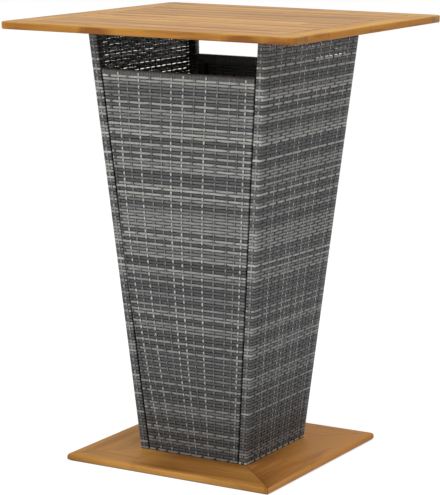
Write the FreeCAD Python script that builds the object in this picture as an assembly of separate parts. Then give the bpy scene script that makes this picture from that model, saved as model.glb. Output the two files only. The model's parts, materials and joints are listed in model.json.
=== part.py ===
import FreeCAD, Part
import math
import os

# Standing bar table: a slatted wooden top on a woven column that widens upwards, on a mitred wooden base.
# Millimetres, X to the right, Y to the back, Z up. The origin is on the floor under the middle.

Vector = FreeCAD.Vector
UP = Vector(0, 0, 1)
ALONG_X = Vector(1, 0, 0)

# Whole table
table_height = 1050.0
top_side = 765.0
column_top_side = 472.0
column_foot_side = 292.0
base_side = 547.0

# Wooden top: four rails round a row of slats that run along X
top_thickness = 17.0
top_corner_radius = 20.0
top_edge_radius = 3.0
top_lower_chamfer = 2.0
rail_width = 62.0
slat_count = 10
slat_gap = 2.5
slat_end_gap = 1.5
slat_edge_radius = 1.0
tongue_length = 8.0
tongue_thickness = 6.0
tongue_clearance = 0.2
groove_end_gap = 1.0
rail_tenon_width = 34.0

# Battens under the inner slats
batten_width = 40.0
batten_thickness = 12.0
batten_spacing = 240.0
batten_end_gap = 3.0
batten_end_height = 5.0
batten_bevel_length = 22.0

# Column panels: square tube frames in woven skins
tube_side = 18.0
tube_wall = 1.2
weave_thickness = 2.0
weave_clearance = 0.2
weave_corner_radius = 3.0
seam_gap = 3.0
opening_height = 94.0
side_middle_rail_height = 520.0
lower_middle_rail_height = 475.0
seam_bolt_inset = 90.0

# Angle brackets between the side panels and the top
bracket_thickness = 3.0
bracket_width = 30.0
bracket_foot = 34.0
bracket_leg = 36.0
bracket_screw_inset = 13.0

# Mitred base and its glides
base_thickness = 16.0
base_inner_reach = 20.0
base_edge_radius = 8.0
base_lower_edge_radius = 2.0
base_bolt_spacing = 120.0
base_counterbore_depth = 6.0
mitre_tenon_width = 90.0
glide_stand_off = 2.0
glide_diameter = 26.0
glide_flat_count = 16
glide_chamfer = 0.8
glide_pin_diameter = 3.0
glide_pin_length = 10.0
glide_inset_side = 40.0
glide_inset_end = 75.0

# Fasteners, with flats in place of their round section, and loose tenons
fastener_flat_count = 6
bolt_diameter = 6.0
bolt_head_diameter = 12.0
bolt_head_height = 4.0
bolt_end = 1.0
nut_body_diameter = 9.0
nut_flange_diameter = 13.0
nut_flange_thickness = 1.0
nut_end_gap = 4.0
screw_diameter = 4.0
screw_head_diameter = 8.0
screw_head_height = 2.5
screw_bite = 11.0
tenon_thickness = 6.0
tenon_length = 40.0
tenon_end_gap = 1.0
tenon_clearance = 0.2
hole_clearance = 0.2
cut_overrun = 1.0

# Places that follow from the sizes
column_foot = glide_stand_off + base_thickness
column_head = table_height - top_thickness
lower_panel_head = column_head - opening_height
panel_thickness = tube_side + 2 * weave_thickness
frame_border = weave_thickness + tube_side
lower_panel_inset = panel_thickness + seam_gap
column_slope = (column_top_side - column_foot_side) / 2 / (column_head - column_foot)
lean_cosine = 1 / math.hypot(1, column_slope)
top_half = top_side / 2
top_opening_half = top_half - rail_width
top_middle_height = column_head + top_thickness / 2
slat_width = (2 * top_opening_half - (slat_count + 1) * slat_gap) / slat_count
bracket_slats = (slat_count // 3, slat_count - 1 - slat_count // 3)
batten_slats = range(1, slat_count - 1)
base_half = base_side / 2
base_opening_half = column_foot_side / 2 - panel_thickness - base_inner_reach
base_board_width = base_half - base_opening_half
nut_body_length = tube_side - 2 * tube_wall - nut_end_gap

# Each panel is made facing the front, then turned to its side: the angle and the names of its two ends
PANEL_TURNS = {"front": 0, "right": 90, "back": 180, "left": 270}
PANEL_ENDS = {
    "front": ("left", "right"),
    "right": ("front", "back"),
    "back": ("right", "left"),
    "left": ("back", "front"),
}

pieces = {}


# Shape helpers

def half_side(z):
    """Half of the column's outer width at a height."""
    return column_foot_side / 2 + (z - column_foot) * column_slope


def flat_face(corners):
    return Part.Face(Part.makePolygon(corners + corners[:1]))


def six_sided(lower, upper):
    """Solid with flat faces between two rings of four corners, each clockwise from above."""
    faces = [flat_face(lower), flat_face(upper)]
    for first in range(4):
        second = (first + 1) % 4
        faces.append(flat_face([lower[first], lower[second], upper[second], upper[first]]))
    shell = Part.makeShell(faces)
    shell.sewShape()
    return Part.makeSolid(shell)


def leaning_block(low, high, outer, inner, left, right):
    """Block of a panel that faces the front and follows the column's taper.

    outer and inner are depths behind the column's front. left and right are (end, inset): the end
    of the panel that the edge follows, -1 or 1, and the edge's distance from the column's side.
    """
    rings = []
    for z in (low, high):
        half = half_side(z)
        x_low, x_high = sorted(end * (half - inset) for end, inset in (left, right))
        y_outer = outer - half
        y_inner = inner - half
        rings.append([
            Vector(x_low, y_outer, z),
            Vector(x_low, y_inner, z),
            Vector(x_high, y_inner, z),
            Vector(x_high, y_outer, z),
        ])
    return six_sided(rings[0], rings[1])


def box_between(low, high):
    size = high - low
    return Part.makeBox(size.x, size.y, size.z, low)


def edges_along(shape, direction):
    """Straight edges that run within about 25 degrees of a direction."""
    found = []
    for edge in shape.Edges:
        run = edge.Vertexes[-1].Point - edge.Vertexes[0].Point
        if run.Length > 0 and abs(run.normalize().dot(direction)) > 0.9:
            found.append(edge)
    return found


def turned(shape, angle):
    """Copy of a shape turned about the table's upright axis."""
    copy = shape.copy()
    copy.rotate(Vector(0, 0, 0), UP, angle)
    return copy


def turned_vector(vector, angle):
    return FreeCAD.Rotation(UP, angle).multVec(vector)


def placed(shape, point, direction):
    """Copy of a shape made along Z, moved to a point and aimed along a direction."""
    copy = shape.copy()
    copy.Placement = FreeCAD.Placement(point, FreeCAD.Rotation(UP, direction))
    return copy


def rod(diameter, start, end, flat_count=fastener_flat_count):
    """Bar along Z between two heights, with flats in place of its round section."""
    corners = []
    for step in range(flat_count):
        angle = math.tau * step / flat_count
        corners.append(Vector(diameter / 2 * math.cos(angle), diameter / 2 * math.sin(angle), start))
    return flat_face(corners).extrude(Vector(0, 0, end - start))


def drill(node, tool):
    pieces[node] = pieces[node].cut(tool)


def group(node, solids):
    """Several like solids kept as one node."""
    pieces[node] = Part.makeCompound(solids)


# Fasteners, made along Z with the bearing face of the head or flange at height zero

def headed(diameter, length, head_diameter, head_height):
    return rod(diameter, 0, length).fuse(rod(head_diameter, -head_height, 0)).removeSplitter()


def bolt(length):
    return headed(bolt_diameter, length, bolt_head_diameter, bolt_head_height)


def screw(length):
    return headed(screw_diameter, length, screw_head_diameter, screw_head_height)


def rivet_nut():
    nut = headed(nut_body_diameter, nut_body_length, nut_flange_diameter, nut_flange_thickness)
    bore = rod(bolt_diameter + hole_clearance, -nut_flange_thickness - cut_overrun, nut_body_length + cut_overrun)
    return nut.cut(bore)


def hole(diameter, start, end):
    return rod(diameter + 2 * hole_clearance, start, end)


def nut_seat():
    """Cut for a rivet nut's body through the tube wall behind its flange."""
    return hole(nut_body_diameter, -cut_overrun, tube_wall + cut_overrun)


def flange_seat():
    """Cut for a rivet nut's flange through the skin in front of the tube."""
    return hole(nut_flange_diameter, -weave_thickness - cut_overrun, weave_clearance / 2)


# Wooden top

def slat_middle(index):
    """Y of a slat's middle, counted from the front."""
    return -top_opening_half + slat_gap + slat_width / 2 + index * (slat_width + slat_gap)


def top_slab():
    """The whole top's outline, with rounded corners and eased edges."""
    slab = box_between(Vector(-top_half, -top_half, column_head), Vector(top_half, top_half, table_height))
    slab = slab.makeFillet(top_corner_radius, edges_along(slab, UP))
    upper = [edge for edge in slab.Edges if edge.BoundBox.ZMin > top_middle_height]
    slab = slab.makeFillet(top_edge_radius, upper)
    lower = [edge for edge in slab.Edges if edge.BoundBox.ZMax < top_middle_height]
    return slab.makeChamfer(top_lower_chamfer, lower)


def make_top_rails():
    slab = top_slab()
    opening = top_opening_half
    pieces["top_front_rail"] = slab.common(box_between(
        Vector(-top_half, -top_half, column_head), Vector(top_half, -opening, table_height)))
    pieces["top_back_rail"] = slab.common(box_between(
        Vector(-top_half, opening, column_head), Vector(top_half, top_half, table_height)))
    groove_reach = opening + tongue_length + groove_end_gap
    groove_half = tongue_thickness / 2 + tongue_clearance
    groove = box_between(Vector(-groove_reach, -opening, top_middle_height - groove_half),
                         Vector(groove_reach, opening, top_middle_height + groove_half))
    side_rail_span = {"top_left_rail": (-top_half, -opening), "top_right_rail": (opening, top_half)}
    for node, (x_low, x_high) in side_rail_span.items():
        whole_rail = slab.common(box_between(Vector(x_low, -opening, column_head),
                                             Vector(x_high, opening, table_height)))
        pieces[node] = whole_rail.cut(groove)


def tenon_and_socket(width):
    """Loose tenon that lies along Y, and the cut for it, both about the origin."""
    half = Vector(width / 2, tenon_length / 2, tenon_thickness / 2)
    room = Vector(tenon_clearance, tenon_end_gap, tenon_clearance)
    return box_between(-half, half), box_between(-half - room, half + room)


def make_rail_tenons():
    """A loose tenon across each joint between the long rails and the side rails."""
    tenon, socket = tenon_and_socket(rail_tenon_width)
    tenons = []
    for x_sign, side_rail in ((-1, "top_left_rail"), (1, "top_right_rail")):
        for y_sign, long_rail in ((-1, "top_front_rail"), (1, "top_back_rail")):
            point = Vector(x_sign * (top_half - rail_width / 2), y_sign * top_opening_half, top_middle_height)
            tenons.append(tenon.translated(point))
            for node in (side_rail, long_rail):
                drill(node, socket.translated(point))
    group("top_rail_tenons", tenons)


def make_slats():
    body_half = top_opening_half - slat_end_gap
    tongue_half = top_opening_half + tongue_length
    for index in range(slat_count):
        front = slat_middle(index) - slat_width / 2
        back = slat_middle(index) + slat_width / 2
        body = box_between(Vector(-body_half, front, column_head), Vector(body_half, back, table_height))
        upper = [edge for edge in edges_along(body, ALONG_X) if edge.CenterOfMass.z > top_middle_height]
        body = body.makeFillet(slat_edge_radius, upper)
        tongue = box_between(Vector(-tongue_half, front, top_middle_height - tongue_thickness / 2),
                             Vector(tongue_half, back, top_middle_height + tongue_thickness / 2))
        pieces[f"top_slat_{index + 1}"] = body.fuse(tongue).removeSplitter()


def make_battens():
    """Two bevelled battens under all but the outermost slats, with a screw up into each."""
    end = slat_middle(batten_slats[-1]) + slat_width / 2 - batten_end_gap
    lower = column_head - batten_thickness
    outline = [(-end, column_head), (end, column_head), (end, column_head - batten_end_height),
               (end - batten_bevel_length, lower), (batten_bevel_length - end, lower),
               (-end, column_head - batten_end_height)]
    wood_screw = screw(batten_thickness + screw_bite)
    passage = hole(screw_diameter, -cut_overrun, batten_thickness + screw_bite + cut_overrun)
    screws = []
    for x_sign, node in ((-1, "top_left_batten"), (1, "top_right_batten")):
        x_middle = x_sign * batten_spacing / 2
        face = flat_face([Vector(x_middle - batten_width / 2, y, z) for y, z in outline])
        pieces[node] = face.extrude(Vector(batten_width, 0, 0))
        for index in batten_slats:
            point = Vector(x_middle, slat_middle(index), lower)
            screws.append(placed(wood_screw, point, UP))
            drill(node, placed(passage, point, UP))
            drill(f"top_slat_{index + 1}", placed(passage, point, UP))
    group("top_batten_screws", screws)


# Column

def stile(low, high, inset, end):
    """Upright tube at one end of a panel, leaning with the column's corner."""
    near = inset + weave_thickness
    far = near + tube_side
    outside = leaning_block(low, high, weave_thickness, frame_border, (end, near), (end, far))
    bore = leaning_block(low - cut_overrun, high + cut_overrun, weave_thickness + tube_wall,
                         frame_border - tube_wall, (end, near + tube_wall), (end, far - tube_wall))
    return outside.cut(bore)


def rail(low, inset):
    """Level tube between a panel's stiles, its ends cut to the stiles' lean."""
    high = low + tube_side
    end_inset = inset + frame_border
    outside = leaning_block(low, high, weave_thickness, frame_border, (-1, end_inset), (1, end_inset))
    open_inset = end_inset - cut_overrun
    bore = leaning_block(low + tube_wall, high - tube_wall, weave_thickness + tube_wall,
                         frame_border - tube_wall, (-1, open_inset), (1, open_inset))
    return outside.cut(bore)


def woven_skin(high, inset):
    """Skin over a panel's outer face that wraps round the frame, open inside between the tubes."""
    sheet = weave_thickness - weave_clearance
    envelope = leaning_block(column_foot, high, 0, panel_thickness, (-1, inset), (1, inset))
    corners = [edge for edge in edges_along(envelope, UP)
               if edge.CenterOfMass.y < panel_thickness / 2 - half_side(edge.CenterOfMass.z)]
    envelope = envelope.makeFillet(weave_corner_radius, corners)
    pocket = leaning_block(column_foot + sheet, high - sheet, sheet, panel_thickness - sheet,
                           (-1, inset + sheet), (1, inset + sheet))
    border = inset + frame_border
    window = leaning_block(column_foot + frame_border, high - frame_border, sheet,
                           panel_thickness + cut_overrun, (-1, border), (1, border))
    return envelope.cut(pocket).cut(window)


def make_panel(side, high, inset, middle_rail_height):
    """Frame and skin of one side of the column, up to a height and in from the column's sides."""
    turn = PANEL_TURNS[side]
    frame_low = column_foot + weave_thickness
    frame_high = high - weave_thickness
    for end, name in zip((-1, 1), PANEL_ENDS[side]):
        pieces[f"{side}_panel_{name}_stile"] = turned(stile(frame_low, frame_high, inset, end), turn)
    rail_lows = {
        "bottom": frame_low,
        "middle": middle_rail_height - tube_side / 2,
        "top": frame_high - tube_side,
    }
    for name, low in rail_lows.items():
        pieces[f"{side}_panel_{name}_rail"] = turned(rail(low, inset), turn)
    pieces[f"{side}_panel_weave"] = turned(woven_skin(high, inset), turn)


def make_seam_bolts():
    """Bolts from the lower panels' stiles into rivet nuts in the side panels' stiles."""
    bolts = []
    nuts = []
    head_inset = lower_panel_inset + frame_border
    tube_face = (head_inset - frame_border) * lean_cosine
    seam_bolt = bolt(tube_face + nut_body_length + bolt_end)
    passage = hole(bolt_diameter, -cut_overrun, tube_face - weave_thickness)
    heights = (column_foot + seam_bolt_inset, lower_panel_head - seam_bolt_inset)
    for lower_side in ("front", "back"):
        turn = PANEL_TURNS[lower_side]
        for end, name in zip((-1, 1), PANEL_ENDS[lower_side]):
            axis = turned_vector(Vector(end, 0, -column_slope), turn).normalize()
            for z in heights:
                local = Vector(end * (half_side(z) - head_inset), frame_border - tube_side / 2 - half_side(z), z)
                point = turned_vector(local, turn)
                bolts.append(placed(seam_bolt, point, axis))
                nut_point = point + axis * tube_face
                nuts.append(placed(rivet_nut(), nut_point, axis))
                for node in (f"{lower_side}_panel_{name}_stile", f"{lower_side}_panel_weave"):
                    drill(node, placed(passage, point, axis))
                drill(f"{name}_panel_weave", placed(flange_seat(), nut_point, axis))
                drill(f"{name}_panel_{lower_side}_stile", placed(nut_seat(), nut_point, axis))
    group("seam_bolts", bolts)
    group("seam_rivet_nuts", nuts)


def make_brackets():
    """Angle brackets that hold the top on the side panels, with their screws, bolts and nuts."""
    brackets = []
    screws = []
    bolts = []
    nuts = []
    level_thickness = bracket_thickness / lean_cosine
    foot_low = column_head - bracket_thickness
    leg_low = column_head - bracket_leg
    corner = half_side(column_head) - panel_thickness
    outline = [
        (corner, column_head),
        (corner - bracket_foot, column_head),
        (corner - bracket_foot, foot_low),
        (half_side(foot_low) - panel_thickness - level_thickness, foot_low),
        (half_side(leg_low) - panel_thickness - level_thickness, leg_low),
        (half_side(leg_low) - panel_thickness, leg_low),
    ]
    screw_x = corner - bracket_foot + bracket_screw_inset
    foot_screw = screw(bracket_thickness + screw_bite)
    screw_passage = hole(screw_diameter, -cut_overrun, bracket_thickness + screw_bite + cut_overrun)
    rail_height = column_head - weave_thickness - tube_side / 2
    tube_face = bracket_thickness + weave_thickness * lean_cosine
    leg_bolt = bolt(tube_face + nut_body_length + bolt_end)
    bolt_passage = hole(bolt_diameter, -cut_overrun, bracket_thickness + cut_overrun)
    for side, x_sign in (("left", -1), ("right", 1)):
        axis = Vector(x_sign, 0, -column_slope).normalize()
        for index in bracket_slats:
            y_middle = slat_middle(index)
            face = flat_face([Vector(x_sign * x, y_middle - bracket_width / 2, z) for x, z in outline])
            bracket = face.extrude(Vector(0, bracket_width, 0))
            point = Vector(x_sign * screw_x, y_middle, foot_low)
            screws.append(placed(foot_screw, point, UP))
            bracket = bracket.cut(placed(screw_passage, point, UP))
            drill(f"top_slat_{index + 1}", placed(screw_passage, point, UP))
            head_x = half_side(rail_height) - panel_thickness - level_thickness
            point = Vector(x_sign * head_x, y_middle, rail_height)
            nut_point = point + axis * tube_face
            bolts.append(placed(leg_bolt, point, axis))
            nuts.append(placed(rivet_nut(), nut_point, axis))
            brackets.append(bracket.cut(placed(bolt_passage, point, axis)))
            drill(f"{side}_panel_weave", placed(flange_seat(), nut_point, axis))
            drill(f"{side}_panel_top_rail", placed(nut_seat(), nut_point, axis))
    group("top_brackets", brackets)
    group("top_bracket_screws", screws)
    group("top_bracket_bolts", bolts)
    group("top_bracket_rivet_nuts", nuts)


# Base

def make_base_boards():
    """Four boards with a rounded outer edge, mitred at the corners."""
    board = box_between(Vector(-base_half, -base_half, glide_stand_off),
                        Vector(base_half, base_board_width - base_half, column_foot))
    board_middle = glide_stand_off + base_thickness / 2
    outer = [edge for edge in edges_along(board, ALONG_X) if edge.CenterOfMass.y < base_board_width / 2 - base_half]
    upper = [edge for edge in outer if edge.CenterOfMass.z > board_middle]
    board = board.makeFillet(base_edge_radius, upper)
    outer = [edge for edge in edges_along(board, ALONG_X) if edge.CenterOfMass.y < base_edge_radius / 2 - base_half]
    lower = [edge for edge in outer if edge.CenterOfMass.z < glide_stand_off + base_lower_edge_radius]
    board = board.makeFillet(base_lower_edge_radius, lower)
    mitre = flat_face([Vector(0, 0, 0), Vector(-base_side, -base_side, 0), Vector(base_side, -base_side, 0)])
    board = board.common(mitre.extrude(Vector(0, 0, table_height)))
    for side, turn in PANEL_TURNS.items():
        pieces[f"base_{side}_board"] = turned(board, turn)


def make_mitre_tenons():
    """A loose tenon across each of the base's mitres."""
    tenon, socket = tenon_and_socket(mitre_tenon_width)
    reach = base_half - base_board_width / 2
    height = glide_stand_off + base_thickness / 2
    tenons = []
    sides = list(PANEL_TURNS)
    for index, side in enumerate(sides):
        next_side = sides[(index + 1) % len(sides)]
        turn = PANEL_TURNS[side]
        point = turned_vector(Vector(reach, -reach, height), turn)
        tenons.append(turned(tenon, turn - 45).translated(point))
        for node in (f"base_{side}_board", f"base_{next_side}_board"):
            drill(node, turned(socket, turn - 45).translated(point))
    group("base_mitre_tenons", tenons)


def make_base_bolts():
    """Bolts from beneath through the boards into rivet nuts in the panels' bottom rails."""
    bolts = []
    nuts = []
    seat = glide_stand_off + base_counterbore_depth
    tube_face = column_foot + weave_thickness
    base_bolt = bolt(tube_face - seat + nut_body_length + bolt_end)
    passage = hole(bolt_diameter, -cut_overrun, column_foot - seat + cut_overrun)
    counterbore = hole(bolt_head_diameter, -base_counterbore_depth - cut_overrun, 0)
    row = panel_thickness / 2 - half_side(column_foot)
    for side, turn in PANEL_TURNS.items():
        for x in (-base_bolt_spacing / 2, base_bolt_spacing / 2):
            point = turned_vector(Vector(x, row, seat), turn)
            nut_point = turned_vector(Vector(x, row, tube_face), turn)
            bolts.append(placed(base_bolt, point, UP))
            nuts.append(placed(rivet_nut(), nut_point, UP))
            drill(f"base_{side}_board", placed(passage, point, UP))
            drill(f"base_{side}_board", placed(counterbore, point, UP))
            drill(f"{side}_panel_weave", placed(flange_seat(), nut_point, UP))
            drill(f"{side}_panel_bottom_rail", placed(nut_seat(), nut_point, UP))
    group("base_bolts", bolts)
    group("base_rivet_nuts", nuts)


def make_glides():
    """Plastic glides with a pin, under the side boards near the corners."""
    disc = rod(glide_diameter, 0, glide_stand_off, glide_flat_count)
    rim = [edge for edge in disc.Edges if edge.BoundBox.ZMax < glide_stand_off / 2]
    disc = disc.makeChamfer(glide_chamfer, rim)
    pin_top = glide_stand_off + glide_pin_length
    glide = disc.fuse(rod(glide_pin_diameter, glide_stand_off, pin_top))
    pin_hole = hole(glide_pin_diameter, glide_stand_off - cut_overrun, pin_top + cut_overrun)
    for x_sign, side in ((-1, "left"), (1, "right")):
        for y_sign, end in ((-1, "front"), (1, "back")):
            point = Vector(x_sign * (base_half - glide_inset_side), y_sign * (base_half - glide_inset_end), 0)
            pieces[f"glide_{end}_{side}"] = glide.translated(point)
            drill(f"base_{side}_board", placed(pin_hole, point, UP))


make_top_rails()
make_rail_tenons()
make_slats()
make_battens()
for panel_side in ("left", "right"):
    make_panel(panel_side, column_head, 0, side_middle_rail_height)
for panel_side in ("front", "back"):
    make_panel(panel_side, lower_panel_head, lower_panel_inset, lower_middle_rail_height)
make_seam_bolts()
make_brackets()
make_base_boards()
make_mitre_tenons()
make_base_bolts()
make_glides()

os.makedirs("parts", exist_ok=True)
for node_name, node_shape in pieces.items():
    node_shape.exportStep(f"parts/{node_name}.step")
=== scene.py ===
import json
import math
import random
from itertools import cycle, islice

import bpy
import numpy as np
from mathutils import Matrix, Vector


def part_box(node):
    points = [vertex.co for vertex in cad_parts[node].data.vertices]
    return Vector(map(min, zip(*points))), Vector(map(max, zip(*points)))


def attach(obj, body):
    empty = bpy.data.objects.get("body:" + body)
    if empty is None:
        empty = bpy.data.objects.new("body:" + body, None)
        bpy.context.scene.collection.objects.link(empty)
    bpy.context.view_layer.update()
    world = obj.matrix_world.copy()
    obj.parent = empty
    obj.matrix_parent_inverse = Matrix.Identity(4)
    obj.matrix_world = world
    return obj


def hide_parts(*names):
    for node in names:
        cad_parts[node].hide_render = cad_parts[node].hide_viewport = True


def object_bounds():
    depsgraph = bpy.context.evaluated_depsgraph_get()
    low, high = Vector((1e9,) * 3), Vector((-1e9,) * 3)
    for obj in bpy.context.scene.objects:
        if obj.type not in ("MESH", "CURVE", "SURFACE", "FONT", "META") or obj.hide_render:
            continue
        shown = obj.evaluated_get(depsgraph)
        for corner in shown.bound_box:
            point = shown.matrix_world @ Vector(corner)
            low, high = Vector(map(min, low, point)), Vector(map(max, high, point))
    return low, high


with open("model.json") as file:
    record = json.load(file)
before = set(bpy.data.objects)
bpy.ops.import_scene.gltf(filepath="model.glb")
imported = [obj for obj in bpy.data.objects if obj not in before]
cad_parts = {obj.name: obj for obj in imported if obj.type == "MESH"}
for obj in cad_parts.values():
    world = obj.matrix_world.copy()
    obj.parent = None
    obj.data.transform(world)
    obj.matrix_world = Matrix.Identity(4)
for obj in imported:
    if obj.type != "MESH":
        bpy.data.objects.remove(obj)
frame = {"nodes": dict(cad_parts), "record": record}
cad_low, cad_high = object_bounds()

# Metres and degrees throughout, apart from the sensor's millimetres. X to the right, Y to the back, Z up, as
# in the frame.

# Camera, fitted to the photograph's frame
IMAGE_WIDTH = 440
IMAGE_HEIGHT = 495
SENSOR = 36.0
FOCAL_PIXELS = 2136.22
PRINCIPAL_X = 221.2
PRINCIPAL_Y = 247.0
CAMERA_AZIMUTH = 29.85
CAMERA_ELEVATION = 10.58
CAMERA_ROLL = 0.39
CAMERA_DISTANCE = 5.1198
CAMERA_CLIP = 100.0
TARGET_SIDE_SHIFT = -0.00869
TARGET_HEIGHT = 0.5025

# Lamps: name, place, size, power and the point that each is aimed at
COLUMN_AIM = (0.0, 0.0, 0.55)
TOP_AIM = (0.0, 0.0, 1.0)
LAMPS = (
    ("key", (-1.3, -3.9, 2.2), 2.4, 81.0, COLUMN_AIM),
    ("fill", (3.5, -1.5, 2.0), 2.4, 18.0, COLUMN_AIM),
    ("overhead", (0.3, -0.3, 3.4), 2.0, 26.0, TOP_AIM),
)

# White surroundings
WHITE = (1.0, 1.0, 1.0, 1.0)
WORLD_STRENGTH = 0.5
FLOOR_REACH = 12.0
FLOOR_GREY = (0.6, 0.6, 0.6, 1.0)
FLOOR_SEEN_GREY = (0.4, 0.4, 0.4, 1.0)
FLOOR_GLOW = 0.82
FLOOR_GLOW_EDGE = 0.006

# Woven strands
WEFT_PITCH = 0.0075
FRONT_WEFT_PITCH = 0.0074
RIGHT_WEFT_PITCH = 0.00725
WEFT_WIDTH = 0.0077
DRAWN_IN_WIDTH = 0.0063
WEFT_THICKNESS = 0.0016
WARP_WIDTH = 0.0060
WARP_THICKNESS = 0.0017
WEAVE_DEPTH = 0.0010
WEFT_SWING = 0.0005
WARP_SWING = 0.0010
CROSSING_FLAT = 0.0022
WARP_FLAT_SHARE = 0.28
WARP_TUCK_DEPTH = 0.0024
WARP_TUCK_RISE = 0.0015
BAND_DOT_RISE = 0.0070
EDGE_STRAND_WIDTH = 0.0080
EDGE_FLAT = 0.0036
EDGE_REACH = 0.0068
STILE_CORNER = 0.0020
RAIL_CORNER = 0.0050
RAIL_WRAP_PITCH = 0.0071
RAIL_WRAP_THICKNESS = 0.0010
RAIL_WRAP_DEPTH = 0.0008
RAIL_WRAP_TUCK = 0.0019
RAIL_WRAP_EDGE = 0.45
RAIL_TUCK_ANGLE = 210
TUCK_RUN = 0.0025
FRONT_BAND = 0.0108
SIDE_BAND = 0.0008
LAST_ROW_ABOVE_FOOT = 0.0038
ARC_STEPS = 2
# Points of a weft's turn round a stile that nobody sees: its last corner, and the points before and after it
HIDDEN_WRAP_POINTS = ARC_STEPS + 3

# How uneven the weave is
ROW_JITTER = 0.03
ROW_LIFT = 0.0003
GAPE_SPREAD = (0.7, 1.2)
WARP_BOW = 0.0205
WARP_BOW_END = 0.8
WARP_BOW_FADE = 2
WARP_LEAN = 0.0120
WARP_LEAN_POWER = 4
RIGHT_SAG = 0.0085
SAG_MIDDLE = 0.55
SAG_REACH = 0.13

# Strand greys, as linear reflectance, and what lightens and darkens them, with painted light and shade
WEFT_GREYS = {"l": 0.36, "p": 0.275, "m": 0.176, "d": 0.083}
WARP_GREYS = {"l": 0.50, "m": 0.21, "d": 0.09}
GREY_SPREAD = 0.14
WRAP_GREY = 0.10
EDGE_STRAND_GREY = 0.27
# Painted light on the wefts round a stile's edge, and painted shade on their hidden turn behind it
STILE_EDGE_PAINTED_LIGHT = 1.25
STILE_INNER_PAINTED_SHADE = 0.40
# Painted shade on a warp where it dives under a weft
WARP_UNDER_PAINTED_SHADE = 0.12
# Painted shade towards the foot: how much of each grey is left there, over which height it comes in, and a
# side panel's border row
WARP_PAINTED_FOOT_SHADE = 0.40
WEFT_PAINTED_FOOT_SHADE = {"l": 0.52, "p": 0.62, "m": 0.74, "d": 0.86}
SIDE_BORDER_PAINTED_SHADE = 0.85
PAINTED_FOOT_SHADE_HEIGHT = 0.30

PANEL_TURNS = {"front": 0, "right": 90, "back": 180, "left": 270}
PANEL_SEEDS = {"front": 11, "back": 12, "right": 13, "left": 14}

# Shades of the wefts from the top down: l light, p pale, m middle, d dark. Each band repeats its pattern over
# its rows.
FRONT_BANDS = (
    ("l", 2), ("mmd", 6), ("ldppmp", 6), ("dlmlldd", 7), ("lmdldlmlp", 9), ("ddmdpldlp", 9), ("mdmm", 4),
    ("p", 6), ("dlpd", 4), ("lmm", 3), ("plddd", 5), ("lpmdpdddmm", 10), ("ddpdpp", 6), ("ddpmpd", 6),
    ("ddp", 6), ("dm", 8), ("ddp", 6), ("d", 3), ("lmlmmdddlmddlmmd", 60),
)
# The back's upper rows are mostly dark, as painted shade inside the column where it shows through the opening
BACK_BANDS = (("dmdd", 18), ("mdlmd", 20), ("lmlld", 20), ("dmml", 20), ("dddmdddm", 60))
SIDE_BANDS = (
    ("mdmmdmdmd", 9), ("lddlddd", 7), ("lmlldl", 6), ("ddlpp", 5), ("ddmppl", 6), ("lddddldd", 8), ("p", 4),
    ("dlmd", 4), ("lddm", 8), ("pddm", 4), ("p", 7), ("dm", 4), ("ldlmp", 5), ("pdmdddmd", 8), ("ddpdp", 5),
    ("dddlpm", 6), ("dddmpmpm", 8), ("dddm", 6), ("pmmpdd", 6), ("pddddd", 6), ("pddddmdddddddm", 60),
)
# Shades of the lowest rows
FOOT_SHADES = {"front": "ddl", "right": "ldl", "back": "ddl", "left": "ldm"}

# Upright strands of the front, as shares of the column's width at the panel's head, and their shades
FRONT_WARPS = (
    (0.101, "d"), (0.154, "l"), (0.208, "m"), (0.276, "l"), (0.344, "m"), (0.409, "m"), (0.471, "l"),
    (0.541, "l"), (0.607, "m"), (0.673, "l"), (0.738, "m"), (0.806, "m"), (0.856, "m"), (0.899, "l"),
)
SIDE_WARP_REACH = 0.97
RIGHT_WARP_SHADES = "ddldmdllmdlmlddmld"
LEFT_WARP_SHADES = "dmldmlddlmdldmmld"

# Where the side weaves gape: how far below the head, from which to which share of the width, and how wide.
# The shares are counted from the front.
RIGHT_GAPES = (
    (0.0350, 0.08, 0.20, 0.0008), (0.0390, 0.37, 0.78, 0.0011), (0.0500, 0.75, 0.90, 0.0012),
    (0.0560, 0.26, 0.43, 0.0011), (0.0625, 0.52, 0.90, 0.0020),
)
LEFT_GAPES = (
    (0.0350, 0.05, 0.14, 0.0018), (0.0430, 0.05, 0.24, 0.0012), (0.0610, 0.05, 0.32, 0.0013),
    (0.0690, 0.05, 0.45, 0.0022), (0.0690, 0.45, 0.62, 0.0014), (0.0780, 0.12, 0.20, 0.0018),
    (0.0780, 0.20, 0.50, 0.0011), (0.0780, 0.78, 1.00, 0.0020), (0.0850, 0.05, 0.40, 0.0011),
    (0.0870, 0.80, 1.00, 0.0017), (0.0970, 0.30, 0.66, 0.0020), (0.1000, 0.70, 1.00, 0.0012),
    (0.1050, 0.28, 0.44, 0.0018), (0.1120, 0.40, 1.00, 0.0022), (0.1180, 0.78, 0.88, 0.0015),
    (0.1195, 0.52, 0.78, 0.0012), (0.1270, 0.66, 0.96, 0.0022),
)

# Ranges of a noise's values that are spread over a look
NOISE_MIDDLE = (0.3, 0.7)
NOISE_MOST = (0.2, 0.8)
STREAK_NOISE = (0.25, 0.75)

# Strand surface. A bump is a depth and a strength.
STREAK_RUN = 90.0
STREAKS_ALONG = 14.0
STREAKS_ACROSS = 2.2
STREAK_SCALE = 1.6
STREAK_SHADES = (0.66, 1.34)
MOTTLE_ALONG = 130.0
MOTTLE_SHADES = (0.82, 1.18)
# Painted shade along a strand's edges, where neighbouring rows meet
EDGE_PAINTED_SHADE_START = 0.3
EDGE_PAINTED_SHADE = 0.12
WARM_GREYS = (0.05, 0.35)
COOL_TINT = (0.98, 0.99, 1.0, 1.0)
WARM_TINT = (1.0, 1.0, 0.94, 1.0)
RIBS = 16.0
RIB_HEIGHT = 0.35
STRAND_ROUGHNESS = (0.42, 0.58)
STRAND_SPECULAR = 0.3
STRAND_BUMP = (0.00012, 0.5)

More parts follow.
